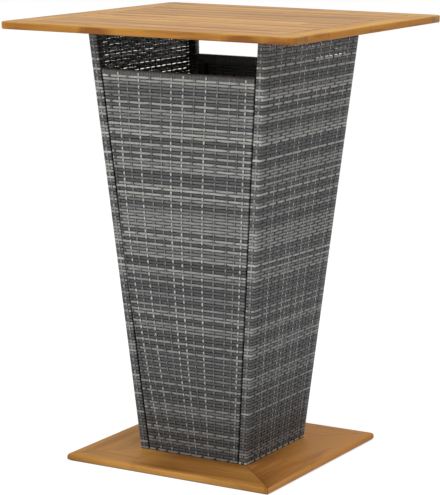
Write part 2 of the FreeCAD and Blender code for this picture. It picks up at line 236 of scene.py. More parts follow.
# Wood grain: scales of its noises along and across the board
BROAD_GRAIN = (1.6, 26.0)
STREAK_GRAIN = (5.0, 42.0)
FINE_GRAIN = (14.0, 520.0)
PORE_GRAIN = (70.0, 1300.0)
WOOD_STREAK_NOISE = (0.5, 0.7)
PORE_NOISE = (0.64, 0.74)
RING_WAVER = 0.06
RINGS = 900.0
FINGER_WIDTH = 0.004
FINGER_SLOPE = 1.8
JOINT_STEP = 0.133

# How much darker each thing makes the wood, and between which distances from it that fades
BROAD_TONE = 0.9
FINE_TONE = 0.12
RING_TONE = 0.05
PORE_TONE = 0.30
SEAM_TONE = 0.40
# Painted shade along the gaps between the top's boards
GAP_PAINTED_SHADE = 0.8
MITRE_TONE = 0.9
DARKEST = 1.4
ARRIS_FADE = (0.001, 0.004)
MITRE_FADE = (0.0006, 0.0022)
BELOW_FACE = (0.004, 0.001)
WOOD_BUMP = (0.00025, 0.4)

# Wood colours, and what sets the top, the base and single boards apart, with painted light and shade on the
# base
TOP_LIGHT = (0.60, 0.300, 0.040, 1.0)
TOP_DARK = (0.25, 0.085, 0.006, 1.0)
BASE_LIGHT = (0.56, 0.270, 0.062, 1.0)
# A lighter base colour, as painted light on the base's right and back boards
BASE_PAINTED_LIGHT = (0.68, 0.298, 0.072, 1.0)
BASE_DARK = (0.20, 0.068, 0.010, 1.0)
BOARD_SEED = 21
BOARD_TONE_SPREAD = 0.28
TOP_LOOK = {"light": TOP_LIGHT, "dark": TOP_DARK, "painted_edge_tone": 0.10}
BASE_LOOK = {"light": BASE_LIGHT, "dark": BASE_DARK, "painted_edge_tone": -0.25, "mitred": True,
             "roughness": (0.50, 0.62), "specular": 0.13, "streak_tone": 0.22}
BOARD_LOOKS = {
    "top_front_rail": {"first_joint": -0.149, "stave_spread": 0.03, "tone_shift": -0.02, "specular": 0.2,
                       "edge_stains": ((-0.39, 0.06, 0.16, 0.55), (-0.165, 0.035, 0.070, 1.6),
                                       (0.205, 0.055, 0.050, 1.2), (0.31, 0.03, 0.30, 0.40)),
                       "edge_tint": (1.03, 0.97, 1.15, 1.0)},
    "top_right_rail": {"stave_length": 0.2083, "first_joint": -0.2168, "joint_width": 0.0040,
                       "stave_spread": 0.03, "stave_shift": 0.2, "tone_shift": -0.20, "painted_edge_tone": 0.10,
                       "specular": 0.12, "edge_tint": (1.12, 0.93, 1.0, 1.0)},
    # The base's boards: the right and back boards' lighter tones are painted light, the front and left
    # boards' tones partly their own and partly painted light, and their darker stretches are painted shadow
    # of the column. The front board's edge stains darken its edge near the left corner and towards the right.
    "base_front_board": {"tone_shift": -0.34, "painted_edge_tone": -0.06,
                         "darker_stretches": ((-0.30, 0.001, 0.14, 0.25), (-0.115, 0.09, 0.61, 0.91)),
                         "edge_stains": ((-0.28, 0.001, 0.12, 0.80), (0.02, 0.10, 1.0, 0.50))},
    "base_right_board": {"light": BASE_PAINTED_LIGHT, "tone_shift": -0.72, "painted_edge_tone": 0.22,
                         "darker_stretches": ((-0.285, 0.001, 0.41, 1.75),)},
    "base_back_board": {"light": BASE_PAINTED_LIGHT, "tone_shift": -0.60},
    "base_left_board": {"tone_shift": -0.22},
}
CROSSWISE_BOARDS = ("top_left_rail", "top_right_rail", "base_left_board", "base_right_board",
                    "top_left_batten", "top_right_batten")

# Surface of the paint, the plating and the plastic
CLOUD_SIZE = 24
ROUGHNESS_SPREAD = 0.08
SPECKLE_STRENGTH = 0.6


# Column shape, read from the frame

side_low, side_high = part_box("right_panel_weave")
front_low, front_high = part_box("front_panel_weave")
column_foot = side_low.z
column_head = side_high.z
lower_head = front_high.z
column_slope = (side_high.x + front_low.y) / (column_head - lower_head)


def half_side(z):
    """Half of the column's outer width at a height."""
    return side_high.x - (column_head - z) * column_slope


base_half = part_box("base_right_board")[1].x
panel_thickness = front_high.y + half_side(column_foot)
lower_inset = half_side(lower_head) - front_high.x


# Strand meshes

class StrandMesh:
    """Gathers strands into one mesh, with each point's grey and its place along and across its strand."""

    # The section of a flat strand with a crowned face: across in widths, up in thicknesses
    SECTION = np.array([(0.5, 0.0), (0.36, 0.36), (0.0, 0.5), (-0.36, 0.36), (-0.5, 0.0), (-0.3, -0.35),
                        (0.3, -0.35)])
    # Each strand has a strip of the map: the share of its length for each end, the margin along each of its
    # sides, and the share of its width that an end takes up
    END_SHARE = 0.01
    SIDE_MARGIN = 0.05
    END_WIDTH = 0.8

    def __init__(self):
        self.points = []
        self.faces = []
        self.map_alongs = []
        self.map_acrosses = []
        self.tones = []
        self.alongs = []
        self.acrosses = []
        self.count = 0
        self.strands = 0

    def strand(self, path, across, width, thickness, tone, start=0.0, closed=False, edge=1.0):
        """Sweeps the section along a path. across is the way the width lies, and the crown is at ahead x
        across. edge is how far out the strand's edges count for its colour and its painted edge shade."""
        path = np.asarray(path, float)
        total = len(path)
        if closed:
            ahead = np.roll(path, -1, axis=0) - np.roll(path, 1, axis=0)
        else:
            ahead = np.gradient(path, axis=0)
        crown = np.cross(ahead, across)
        crown /= np.linalg.norm(crown, axis=1)[:, None]
        widths = np.broadcast_to(np.asarray(width, float), total)
        section = self.SECTION
        ring = len(section)
        points = (path[:, None, :]
                  + section[None, :, :1] * widths[:, None, None] * across
                  + section[None, :, 1:] * thickness * crown[:, None, :])
        self.points.append(points.reshape(-1, 3))
        self.tube_faces(total, ring, closed)
        if not closed:
            self.end_faces(total, ring)
        lengths = np.linalg.norm(np.diff(path, axis=0), axis=1)
        along = start + np.concatenate([[0.0], np.cumsum(lengths)])
        self.alongs.append(np.repeat(along, ring))
        self.acrosses.append(np.tile(section[:, 0] * 2 * edge, total))
        self.tones.append(np.repeat(np.broadcast_to(tone, total), ring))
        self.count += total * ring
        self.strands += 1

    def tube_faces(self, total, ring, closed):
        spans = total - 1 + closed
        here = np.arange(spans)[:, None]
        corner = np.arange(ring)[None, :]
        first = self.count + here * ring
        following = self.count + (here + 1) % total * ring
        beside = (corner + 1) % ring
        quads = np.stack([first + corner, first + beside, following + beside, following + corner], axis=-1)
        self.faces.extend(quads.reshape(-1, 4).tolist())
        ends = np.stack([here, here, here + 1, here + 1], axis=-1) / spans
        sides = np.stack([corner, corner + 1, corner + 1, corner], axis=-1) / ring
        length = 1 - 2 * self.END_SHARE
        width = 1 - 2 * self.SIDE_MARGIN
        self.map_alongs.append((self.END_SHARE + length * np.broadcast_to(ends, quads.shape)).ravel())
        side = self.strands + self.SIDE_MARGIN
        self.map_acrosses.append(side + width * np.broadcast_to(sides, quads.shape).ravel())

    def end_faces(self, total, ring):
        last = self.count + (total - 1) * ring
        self.faces.append(list(range(self.count + ring - 1, self.count - 1, -1)))
        self.faces.append(list(range(last, last + ring)))
        half = self.END_SHARE / 2
        for section, middle in ((self.SECTION[::-1], half), (self.SECTION, 1 - half)):
            self.map_alongs.append(middle + section[:, 1] * self.END_SHARE / 2)
            self.map_acrosses.append(self.strands + 0.5 + section[:, 0] * self.END_WIDTH)

    def build(self, name, material):
        mesh = bpy.data.meshes.new(name)
        mesh.from_pydata(np.concatenate(self.points), [], self.faces)
        for attribute, values in (("tone", self.tones), ("along", self.alongs), ("across", self.acrosses)):
            layer = mesh.attributes.new(attribute, "FLOAT", "POINT")
            layer.data.foreach_set("value", np.concatenate(values).astype(np.float32))
        map_across = np.concatenate(self.map_acrosses) / self.strands
        strips = np.column_stack([np.concatenate(self.map_alongs), map_across])
        mesh.uv_layers.new(name="OFBake").data.foreach_set("uv", strips.astype(np.float32).ravel())
        mesh.polygons.foreach_set("use_smooth", np.ones(len(mesh.polygons), dtype=bool))
        mesh.materials.append(material)
        piece = bpy.data.objects.new(name, mesh)
        bpy.context.scene.collection.objects.link(piece)
        return piece


def arc(middle, radius, start, end):
    """Points round a middle in a plane, between two angles in degrees."""
    x, y = middle
    angles = np.radians(np.linspace(start, end, ARC_STEPS + 1))
    return [(x + radius * math.cos(angle), y + radius * math.sin(angle)) for angle in angles]


class Panel:
    """One woven side of the column, in its own plan: x along the panel and depth behind its face. Slack is
    how uneven and open its weave is, from 0 to 1. The lower panels, front and back, are set in between the
    side panels, and their top rail shows as a band."""

    def __init__(self, side, head, inset, pitch, band, warps, bands, gapes=(), slack=1.0):
        self.side = side
        self.turn = np.array(Matrix.Rotation(math.radians(PANEL_TURNS[side]), 3, "Z"))
        self.head = head
        self.inset = inset
        self.pitch = pitch
        self.band = band
        self.is_lower = inset > 0.0
        self.bow, self.lean = (WARP_BOW, WARP_LEAN) if self.is_lower else (0.0, 0.0)
        self.sag = RIGHT_SAG if side == "right" else 0.0
        self.slack = slack
        self.drawn_in_width = WEFT_WIDTH - slack * (WEFT_WIDTH - DRAWN_IN_WIDTH)
        self.draw = random.Random(PANEL_SEEDS[side])
        self.warps = warps
        self.rows = self.lay_rows()
        self.parts = self.part_rows(gapes)
        self.shades = self.row_shades(bands)

    def half_width(self, z):
        return half_side(z) - self.inset

    def inner_half(self, z):
        """Half of the width between the stiles."""
        return self.half_width(z) - panel_thickness

    def fallen(self, z):
        """How far down the panel a height is, from 0 at its head to 1 at its foot."""
        return (self.head - z) / (self.head - column_foot)

    def warp_place(self, share, z):
        """Where along the panel an upright strand is at a height. In the front and the back they bow to one
        side, except near one stile, over which they lean towards the foot."""
        fallen = self.fallen(z)
        slack = min(1.0, max(0.0, WARP_BOW_FADE * (WARP_BOW_END - share)))
        bowed = self.bow * slack * math.sin(math.pi * fallen)
        leant = self.lean * fallen * max(0.0, share) ** WARP_LEAN_POWER
        return share * self.inner_half(z) - bowed + leant

    def sagged(self, share, z):
        """Height of a row at a share of the panel's width. The right weave sags towards the back, about half
        way down."""
        sag = self.sag * math.exp(-((self.fallen(z) - SAG_MIDDLE) / SAG_REACH) ** 2)
        return z - sag * (1 + share) / 2

    def place(self, points):
        """Turns points of x, depth and height into the frame's points."""
        points = np.asarray(points, float)
        flat = np.column_stack([points[:, 0], points[:, 1] - half_side(points[:, 2]), points[:, 2]])
        return flat @ self.turn.T

    def direction(self, vector):
        return self.turn @ (np.asarray(vector, float) / np.linalg.norm(vector))

    def lay_rows(self):
        """Heights of the wefts from the top down, a little uneven."""
        top = self.head - self.band - WEFT_WIDTH / 2
        low = column_foot + LAST_ROW_ABOVE_FOOT
        count = round((top - low) / self.pitch)
        steps = [1 + self.slack * self.draw.uniform(-ROW_JITTER, ROW_JITTER) for _ in range(count)]
        fallen = np.concatenate([[0.0], np.cumsum(steps)])
        return top - fallen * (top - low) / fallen[-1]

    def part_rows(self, gapes):
        """How far each weft rises between its crossings: where the weave gapes, the upper weft rises and the
        lower one falls."""
        rises = np.zeros((len(self.rows), len(self.warps) - 1))
        between = (self.rows[:-1] + self.rows[1:]) / 2
        places = np.array([share for share, _ in self.warps])
        middles = (places[:-1] + places[1:]) / 2
        for below_head, start, end, gap in gapes:
            upper = np.argmin(abs(between - (self.head - below_head)))
            for span in np.flatnonzero((middles > start) & (middles < end)):
                half = gap / 2 * self.draw.uniform(*GAPE_SPREAD)
                rises[upper, span] += half
                rises[upper + 1, span] -= half
        return rises

    def row_shades(self, bands):
        shades = [shade for pattern, rows in bands for shade in islice(cycle(pattern), rows)]
        foot = FOOT_SHADES[self.side]
        return shades[:len(self.rows) - len(foot)] + list(foot)

    def tone(self, grey):
        return grey * self.draw.uniform(1 - GREY_SPREAD, 1 + GREY_SPREAD)

    def start(self):
        """A place to begin along the strand's streaks."""
        return self.draw.uniform(0.0, STREAK_RUN)


def edge_crossing(edge, side):
    """Plan of a weft on a stile's edge, where it passes over (side 1) or under (side -1) the edge strand."""
    middle = panel_thickness / 2
    swung = edge + side * WEFT_SWING
    return [(edge, middle - EDGE_REACH), (swung, middle - EDGE_FLAT), (swung, middle + EDGE_FLAT),
            (edge, middle + EDGE_REACH)]


def stile_wrap(panel, z, edge_side):
    """Plan of a weft round the right-hand stile: its edge, its back and in behind the weave."""
    half = panel.half_width(z)
    edge = half - WEAVE_DEPTH
    inner = panel_thickness - WEAVE_DEPTH
    near = half - inner
    radius = STILE_CORNER
    wrap = arc((edge - radius, WEAVE_DEPTH + radius), radius, -90, 0)
    wrap += edge_crossing(edge, edge_side)
    wrap += arc((edge - radius, inner - radius), radius, 0, 90)
    wrap += arc((near + radius, inner - radius), radius, 90, 180)
    wrap.append((near, WEAVE_DEPTH + 2 * radius))
    return wrap


def weft_path(panel, number):
    """Points of one weft as x, depth and height, its widths and its painted lightness. It is drawn in where
    it dives under a warp, with painted light round the stiles' edges and painted shade behind them."""
    z = panel.rows[number]
    far_z = panel.sagged(1.0, z)
    parity = number % 2
    edge_side = -1 if parity else 1
    wrap = stile_wrap(panel, z, edge_side)
    points = [(-x, depth, z) for x, depth in reversed(wrap)]
    widths = [WEFT_WIDTH] * len(wrap)
    heights = [panel.sagged(share, z) for share, _ in panel.warps]
    places = [panel.warp_place(share, height) for (share, _), height in zip(panel.warps, heights)]
    for warp, x in enumerate(places):
        over = (warp + parity) % 2
        depth = WEAVE_DEPTH - (WEFT_SWING if over else -WEFT_SWING)
        lifted = heights[warp] + panel.slack * panel.draw.uniform(-ROW_LIFT, ROW_LIFT)
        points += [(x - CROSSING_FLAT, depth, lifted), (x + CROSSING_FLAT, depth, lifted)]
        widths += [WEFT_WIDTH if over else panel.drawn_in_width] * 2
        if warp < len(places) - 1:
            halfway = (heights[warp] + heights[warp + 1]) / 2
            points.append(((x + places[warp + 1]) / 2, WEAVE_DEPTH, halfway + panel.parts[number, warp]))
            widths.append(WEFT_WIDTH)
    points += [(x, depth, far_z) for x, depth in stile_wrap(panel, far_z, edge_side)]
    widths += [WEFT_WIDTH] * len(wrap)
    seen = len(wrap) - HIDDEN_WRAP_POINTS
    # Painted light on the stile's edge, painted shade on the hidden turn
    stile_light_and_shade = [STILE_EDGE_PAINTED_LIGHT] * seen + [STILE_INNER_PAINTED_SHADE] * HIDDEN_WRAP_POINTS
    painted_lightness = stile_light_and_shade[::-1] + [1.0] * (len(points) - 2 * len(wrap)) + stile_light_and_shade
    return points, widths, np.array(painted_lightness)


def painted_foot_shade(z, left):
    """How much of a strand's grey is left at a height: painted shade darkens strands towards the foot."""
    return left + (1 - left) * min(1.0, (z - column_foot) / PAINTED_FOOT_SHADE_HEIGHT)


def make_wefts(panel, material):
    """Level strands. The lowest one of a side panel is its border."""
    mesh = StrandMesh()
    up = panel.direction((0.0, -column_slope, 1.0))
    last = len(panel.rows) - 1
    for number, shade in enumerate(panel.shades):
        points, widths, painted_lightness = weft_path(panel, number)
        # Painted shade towards the foot, with a fixed painted shade on a side panel's border row
        fade = painted_foot_shade(panel.rows[number], WEFT_PAINTED_FOOT_SHADE[shade])
        if number == last and not panel.is_lower:
            fade = SIDE_BORDER_PAINTED_SHADE
        tone = panel.tone(WEFT_GREYS[shade]) * fade
        mesh.strand(panel.place(points), up, widths, WEFT_THICKNESS, tone * painted_lightness, panel.start())
    return mesh.build(f"{panel.side}_wefts", material)


def warp_drop(heights, first_side):
    """Height and outward swing of an upright strand that starts over or under the weft at the first of some
    heights."""
    reach = WARP_FLAT_SHARE * WEFT_PITCH
    drop = []
    for number, z in enumerate(heights):
        swing = WARP_SWING * first_side * (-1) ** number
        drop += [(z + reach, swing), (z - reach, swing)]
    return drop


def make_warps(panel, material):
    """Upright strands that come out from under the top rail's turns, and one on each edge of a side panel."""
    mesh = StrandMesh()
    across = panel.direction((1.0, 0.0, 0.0))
    heights = panel.rows
    first_side = 1
    if panel.is_lower:
        heights = np.concatenate([[panel.rows[0] + BAND_DOT_RISE], panel.rows])
        first_side = -1
    for number, (share, shade) in enumerate(panel.warps):
        drop = warp_drop([panel.sagged(share, z) for z in heights], first_side * (-1) ** number)
        tucked = (drop[0][0] + WARP_TUCK_RISE, -WARP_TUCK_DEPTH)
        points = [(panel.warp_place(share, z), WEAVE_DEPTH - swing, z) for z, swing in [tucked] + drop]
        # Painted shade: darker towards the foot, and darker still where the warp dives under a weft
        tones = [panel.tone(WARP_GREYS[shade]) * painted_foot_shade(z, WARP_PAINTED_FOOT_SHADE)
                 * (WARP_UNDER_PAINTED_SHADE if depth > WEAVE_DEPTH else 1.0) for _, depth, z in points]
        mesh.strand(panel.place(points), across, WARP_WIDTH, WARP_THICKNESS, tones, panel.start())
    if not panel.is_lower:
        for hand in (-1, 1):
            points = [(hand * (panel.half_width(z) - WEAVE_DEPTH + swing), panel_thickness / 2, z)
                      for z, swing in warp_drop([panel.sagged(hand, z) for z in panel.rows], -1)]
            # Painted shade towards the foot
            tones = [panel.tone(EDGE_STRAND_GREY) * painted_foot_shade(z, WARP_PAINTED_FOOT_SHADE) for _, _, z in points]
            mesh.strand(panel.place(points), panel.direction((0.0, hand, 0.0)), EDGE_STRAND_WIDTH,
                        WARP_THICKNESS, tones, panel.start())
    return mesh.build(f"{panel.side}_warps", material)


def make_rail_wraps(panel, material):
    """Close turns of strand round the top rail, and over the tops of the stiles. They lie at the face where
    the rail shows as a band, and else behind the wefts."""
    mesh = StrandMesh()
    across = panel.direction((1.0, 0.0, 0.0))
    radius = RAIL_CORNER
    outer = RAIL_WRAP_DEPTH if panel.is_lower else RAIL_WRAP_TUCK
    inner = panel_thickness - RAIL_WRAP_DEPTH
    top = panel.head - RAIL_WRAP_DEPTH
    low = panel.head - panel_thickness + RAIL_WRAP_DEPTH
    band_end = panel.head - max(panel.band, radius + RAIL_WRAP_DEPTH)
    tuck = band_end - TUCK_RUN
    face = arc((outer + radius, top - radius), radius, 90, 180)
    face += [(outer, band_end), (RAIL_WRAP_TUCK, tuck)]
    back = arc((inner - radius, top - radius), radius, 0, 90)
    under = [(RAIL_WRAP_TUCK, low + radius)]
    under += arc((RAIL_WRAP_TUCK + radius, low + radius), radius, RAIL_TUCK_ANGLE, 270)
    under += arc((inner - radius, low + radius), radius, 270, 360)
    half = panel.half_width(panel.head)
    turns = int(2 * half / RAIL_WRAP_PITCH)
    for turn in range(turns):
        share = (2 * turn + 1) / turns - 1
        between_stiles = abs(share) * half < panel.inner_half(panel.head)
        loop = face + under + back if between_stiles else [(inner, tuck)] + back + face
        points = [(share * panel.half_width(z), depth, z) for depth, z in loop]
        mesh.strand(panel.place(points), across, 2 * half / turns, RAIL_WRAP_THICKNESS,
                    panel.tone(WRAP_GREY), panel.start(), closed=between_stiles, edge=RAIL_WRAP_EDGE)
    return mesh.build(f"{panel.side}_rail_wraps", material)


# Materials

class Nodes:
    """Short way to add and join a node tree's nodes."""

    def __init__(self, tree):
        self.tree = tree
        tree.nodes.clear()

    def add(self, kind, inputs=None, **settings):
        node = self.tree.nodes.new(kind)
        for name, value in settings.items():
            setattr(node, name, value)
        for socket, value in (inputs or {}).items():
            self.feed(node.inputs[socket], value)
        return node

    def feed(self, socket, value):
        """Joins a socket to another node's output, or sets it."""
        if isinstance(value, bpy.types.NodeSocket):
            self.tree.links.new(value, socket)
        else:
            socket.default_value = value

    def maths(self, operation, first, second=0.0, third=0.0):
        node = self.add("ShaderNodeMath", {0: first, 1: second, 2: third}, operation=operation)
        return node.outputs[0]

    def total(self, first, *others):
        for other in others:
            first = self.maths("ADD", first, other)
        return first

    def attribute(self, name):
        return self.add("ShaderNodeAttribute", attribute_name=name).outputs["Fac"]

    def noise(self, vector, scale, detail=3.0, roughness=0.5, distortion=0.0):
        node = self.add("ShaderNodeTexNoise", {"Vector": vector, "Scale": scale, "Detail": detail,
                                               "Roughness": roughness, "Distortion": distortion})
        return node.outputs["Fac"]

    def spread(self, value, low, high, to_low=0.0, to_high=1.0):
        node = self.add("ShaderNodeMapRange", {"Value": value, "From Min": low, "From Max": high,
                                               "To Min": to_low, "To Max": to_high})
        return node.outputs["Result"]

    def mix(self, factor, first, second, blend="MIX"):
        node = self.add("ShaderNodeMix", data_type="RGBA", blend_type=blend)
        self.feed(node.inputs[0], factor)
        self.feed(node.inputs[6], first)
        self.feed(node.inputs[7], second)
        return node.outputs[2]

    def vector(self, x, y, z):
        return self.add("ShaderNodeCombineXYZ", {0: x, 1: y, 2: z}).outputs[0]

    def bump(self, height, distance, strength):
        node = self.add("ShaderNodeBump", {"Height": height, "Distance": distance, "Strength": strength})
        return node.outputs["Normal"]


def new_material(name):
    material = bpy.data.materials.new(name)
    material.use_nodes = True
    return material, Nodes(material.node_tree)


def finish_material(nodes, colour, roughness, normal, **constants):
    shader = nodes.add("ShaderNodeBsdfPrincipled",
                       {"Base Color": colour, "Roughness": roughness, "Normal": normal})
    for name, value in constants.items():
        shader.inputs[name.replace("_", " ")].default_value = value
    out = nodes.add("ShaderNodeOutputMaterial")
    nodes.feed(out.inputs["Surface"], shader.outputs["BSDF"])


def strand_material():
    """Extruded plastic strand: its own grey, lengthwise streaks, fine ribs and painted shade along its edges.
    """
    material, nodes = new_material("woven_strand")
    tone = nodes.attribute("tone")
    along = nodes.attribute("along")
    across = nodes.attribute("across")
    streak_place = nodes.vector(nodes.maths("MULTIPLY", along, STREAKS_ALONG),
                                nodes.maths("MULTIPLY", across, STREAKS_ACROSS), tone)
    streaks = nodes.noise(streak_place, STREAK_SCALE, detail=4.0, roughness=0.65)
    mottle_place = nodes.vector(nodes.maths("MULTIPLY", along, MOTTLE_ALONG), across, tone)
    mottle = nodes.noise(mottle_place, 1.0, detail=2.0)
    shade = nodes.maths("MULTIPLY", nodes.spread(streaks, *STREAK_NOISE, *STREAK_SHADES),
                        nodes.spread(mottle, *NOISE_MIDDLE, *MOTTLE_SHADES))
    # Painted shade along the strand's edges
    edge = nodes.spread(nodes.maths("ABSOLUTE", across), EDGE_PAINTED_SHADE_START, 1.0, 1.0, EDGE_PAINTED_SHADE)
    grey = nodes.maths("MULTIPLY", nodes.maths("MULTIPLY", tone, shade), edge)
    tint = nodes.mix(nodes.spread(grey, *WARM_GREYS), COOL_TINT, WARM_TINT)
    plain = nodes.add("ShaderNodeCombineColor", {0: grey, 1: grey, 2: grey}).outputs[0]
    colour = nodes.mix(1.0, tint, plain, blend="MULTIPLY")
    ribs = nodes.maths("SINE", nodes.maths("MULTIPLY", across, RIBS))
    height = nodes.maths("ADD", nodes.maths("MULTIPLY", ribs, RIB_HEIGHT), streaks)
    roughness = nodes.spread(streaks, *NOISE_MOST, *STRAND_ROUGHNESS)
    finish_material(nodes, colour, roughness, nodes.bump(height, *STRAND_BUMP),
                    Specular_IOR_Level=STRAND_SPECULAR)
    return material


def grain_noise(nodes, axes, scales, shift, across_shift, **settings):
    """Noise that is drawn out along the grain, and shifted from stave to stave."""
    along, across, deep = axes
    long, wide = scales
    place = nodes.vector(nodes.maths("MULTIPLY_ADD", along, long, shift),
                         nodes.maths("MULTIPLY_ADD", across, wide, across_shift),
                         nodes.maths("MULTIPLY", deep, wide))
    return nodes.noise(place, 1.0, **settings)


def line_tone(nodes, distance, fade, tone):
    """A tone along a line, which fades away from it."""
    return nodes.spread(nodes.maths("ABSOLUTE", distance), *fade, tone, 0.0)


def stain_and_shadow_tones(nodes, place, darker_stretches, where):
    tones = []
    for start, rise, fade, tone in darker_stretches:
        peak = start + rise
        begun = nodes.spread(place, start, peak)
        fading = nodes.spread(place, peak, peak + fade, tone, 0.0)
        tones.append(nodes.maths("MULTIPLY", nodes.maths("MULTIPLY", begun, fading), where))
    return tones


def wood_material(name, grain_angle, seed, light, dark, tone_shift=0.0, arrises=(), darker_stretches=(),
                  edge_stains=(), stave_length=0.36, first_joint=None, joint_width=0.0008, stave_spread=0.10,
                  stave_shift=7.0, face=0.0, painted_edge_tone=0.0, edge_tint=None, mitred=False,
                  roughness=(0.40, 0.56), specular=0.3, streak_tone=0.6):
    """Oiled hardwood in finger-jointed staves, with its grain along X turned by an angle. An arris is a place
    across the board next to a gap, darkened by painted shade. A darker stretch is painted shadow on the
    upper face, which is at a height: where it starts, how far it rises and then fades, and its tone. Below
    the face the board has edge stains, a tint and a painted edge tone: painted shade on the top's edges,
    below a face that shows a sheen, and on the base mostly lighter rounded edges, as a painted highlight."""
    material, nodes = new_material(name)
    place = nodes.add("ShaderNodeTexCoord").outputs["Object"]
    turn = (0.0, 0.0, -math.radians(grain_angle))
    turned = nodes.add("ShaderNodeMapping", {"Vector": place, "Rotation": turn})
    axes = nodes.add("ShaderNodeSeparateXYZ", {0: turned.outputs[0]}).outputs
    along, across, deep = axes

    fingers = nodes.maths("PINGPONG", across, FINGER_WIDTH)
    joint_place = nodes.maths("ADD", along, nodes.maths("MULTIPLY", fingers, FINGER_SLOPE))
    joint = seed * JOINT_STEP if first_joint is None else first_joint
    stave_share = nodes.maths("MULTIPLY", nodes.maths("SUBTRACT", joint_place, joint), 1 / stave_length)
    stave = nodes.maths("FLOOR", stave_share)
    chance = nodes.add("ShaderNodeTexWhiteNoise", {"Vector": nodes.vector(stave, seed, 0.5)},
                       noise_dimensions="3D")
    tone = chance.outputs["Value"]
    shift = nodes.maths("MULTIPLY", tone, stave_shift)
    within = nodes.maths("FRACT", stave_share)
    from_joint = nodes.maths("MINIMUM", within, nodes.maths("SUBTRACT", 1.0, within))
    off_joint = nodes.maths("MULTIPLY", from_joint, stave_length)
    seam = nodes.spread(off_joint, joint_width / 3, joint_width, 1.0, 0.0)

    broad = grain_noise(nodes, axes, BROAD_GRAIN, shift, shift, detail=5.0, roughness=0.6, distortion=0.5)
    streaks = nodes.spread(grain_noise(nodes, axes, STREAK_GRAIN, shift, shift, detail=2.0),
                           *WOOD_STREAK_NOISE)
    fine = grain_noise(nodes, axes, FINE_GRAIN, shift, 0.0, detail=3.0, roughness=0.6)
    pores = nodes.spread(grain_noise(nodes, axes, PORE_GRAIN, shift, 0.0, detail=2.0), *PORE_NOISE)
    wavered = nodes.maths("MULTIPLY_ADD", broad, RING_WAVER, across)
    ring_wave = nodes.maths("SINE", nodes.maths("MULTIPLY", wavered, RINGS))
    below_low, below_high = BELOW_FACE
    below_face = nodes.spread(deep, face - below_low, face - below_high, 1.0, 0.0)
    on_face = nodes.maths("SUBTRACT", 1.0, below_face)

    tones = [
        nodes.spread(broad, *NOISE_MIDDLE, 0.0, BROAD_TONE),
        nodes.spread(tone, 0.0, 1.0, tone_shift - stave_spread, tone_shift + stave_spread),
        nodes.spread(fine, *NOISE_MIDDLE, -FINE_TONE, FINE_TONE),
        nodes.maths("MULTIPLY", ring_wave, RING_TONE),
        nodes.maths("MULTIPLY", streaks, streak_tone),
        nodes.maths("MULTIPLY", pores, PORE_TONE),
        nodes.maths("MULTIPLY", seam, SEAM_TONE),
    ]
    # Painted shade along the gaps between boards
    for edge in arrises:
        tones.append(line_tone(nodes, nodes.maths("SUBTRACT", across, edge), ARRIS_FADE, GAP_PAINTED_SHADE))
    # Painted shadow on the face; edge stains below it
    tones += stain_and_shadow_tones(nodes, joint_place, darker_stretches, on_face)
    tones += stain_and_shadow_tones(nodes, joint_place, edge_stains, below_face)
    # Painted light and shade below the face
    tones.append(nodes.maths("MULTIPLY", below_face, painted_edge_tone))
    if mitred:
        off_mitre = nodes.maths("SUBTRACT", nodes.maths("ABSOLUTE", along), nodes.maths("ABSOLUTE", across))
        tones.append(line_tone(nodes, off_mitre, MITRE_FADE, MITRE_TONE))
    colour = nodes.mix(nodes.spread(nodes.total(*tones), 0.0, DARKEST), light, dark)
    if edge_tint is not None:
        colour = nodes.mix(below_face, colour, nodes.mix(1.0, colour, edge_tint, blend="MULTIPLY"))
    height = nodes.maths("SUBTRACT", fine, nodes.maths("ADD", pores, seam))
    finish_material(nodes, colour, nodes.spread(fine, *NOISE_MOST, *roughness),
                    nodes.bump(height, *WOOD_BUMP), Specular_IOR_Level=specular)
    return material


def speckled_material(name, colour, other, roughness, grain, bump, metallic=0.0):
    """Painted, plated or moulded surface with a fine uneven finish."""
    material, nodes = new_material(name)
    place = nodes.add("ShaderNodeTexCoord").outputs["Object"]
    fine = nodes.noise(place, grain, detail=4.0, roughness=0.6)
    cloud = nodes.noise(place, grain / CLOUD_SIZE, detail=3.0)
    blend = nodes.maths("MULTIPLY", nodes.spread(fine, *NOISE_MIDDLE), nodes.spread(cloud, *NOISE_MIDDLE))
    uneven = nodes.spread(cloud, *NOISE_MIDDLE, roughness - ROUGHNESS_SPREAD, roughness + ROUGHNESS_SPREAD)
    finish_material(nodes, nodes.mix(blend, colour, other), uneven,
                    nodes.bump(fine, bump, SPECKLE_STRENGTH), Metallic=metallic)
    return material


def dress(node, material):
    mesh = frame["nodes"][node].data
    mesh.materials.clear()
    mesh.materials.append(material)


# Stage

def area_light(name, place, size, power, aim):
    lamp = bpy.data.lights.new(name, "AREA")
    lamp.shape = "SQUARE"
    lamp.size = size
    lamp.energy = power
    holder = bpy.data.objects.new(name, lamp)
    holder.location = place
    holder.rotation_euler = (Vector(aim) - Vector(place)).to_track_quat("-Z", "Y").to_euler()
    bpy.context.scene.collection.objects.link(holder)


def seen_directly(nodes):
    """1 for rays from the camera, a mirror or glass, 0 for light that falls on something."""
    path = nodes.add("ShaderNodeLightPath").outputs
    return nodes.maths("MAXIMUM", path["Is Camera Ray"],
                       nodes.maths("MAXIMUM", path["Is Glossy Ray"], path["Is Transmission Ray"]))


